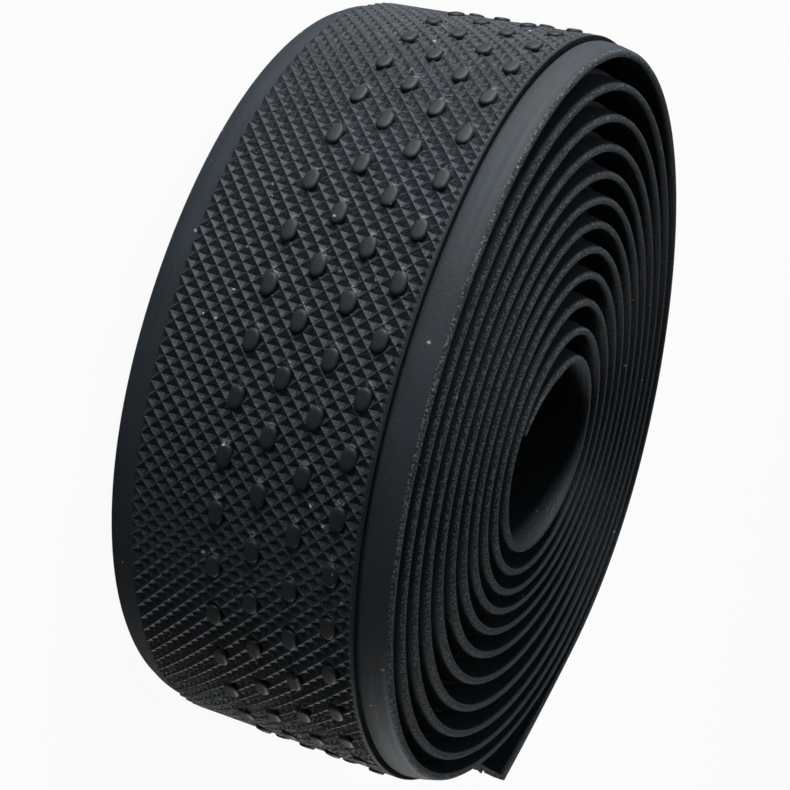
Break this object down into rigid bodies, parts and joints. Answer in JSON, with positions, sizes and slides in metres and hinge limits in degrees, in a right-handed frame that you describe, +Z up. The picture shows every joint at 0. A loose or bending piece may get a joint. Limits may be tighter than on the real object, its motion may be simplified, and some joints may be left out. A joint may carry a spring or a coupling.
{
  "type": "handlebar tape roll",
  "caption": "Roll of textured foam-rubber handlebar tape: one strip with smooth margins and raised dots, wound in a loose spiral with a free outer end.",
  "frame": {"origin": "middle of the roll's footprint, on the surface that the roll stands on", "axes": "+Z up along the roll's axis, across the strip's width; +X and +Y across the roll, with the free outer end near -Y"},
  "size_m": [0.0784, 0.0846, 0.03],
  "materials": {
    "tape_rubber": "matt, knurled in the middle and smooth along both edges"
  },
  "bodies": {
    "root": {"tape": "tape_rubber"}
  },
  "joints": []
}
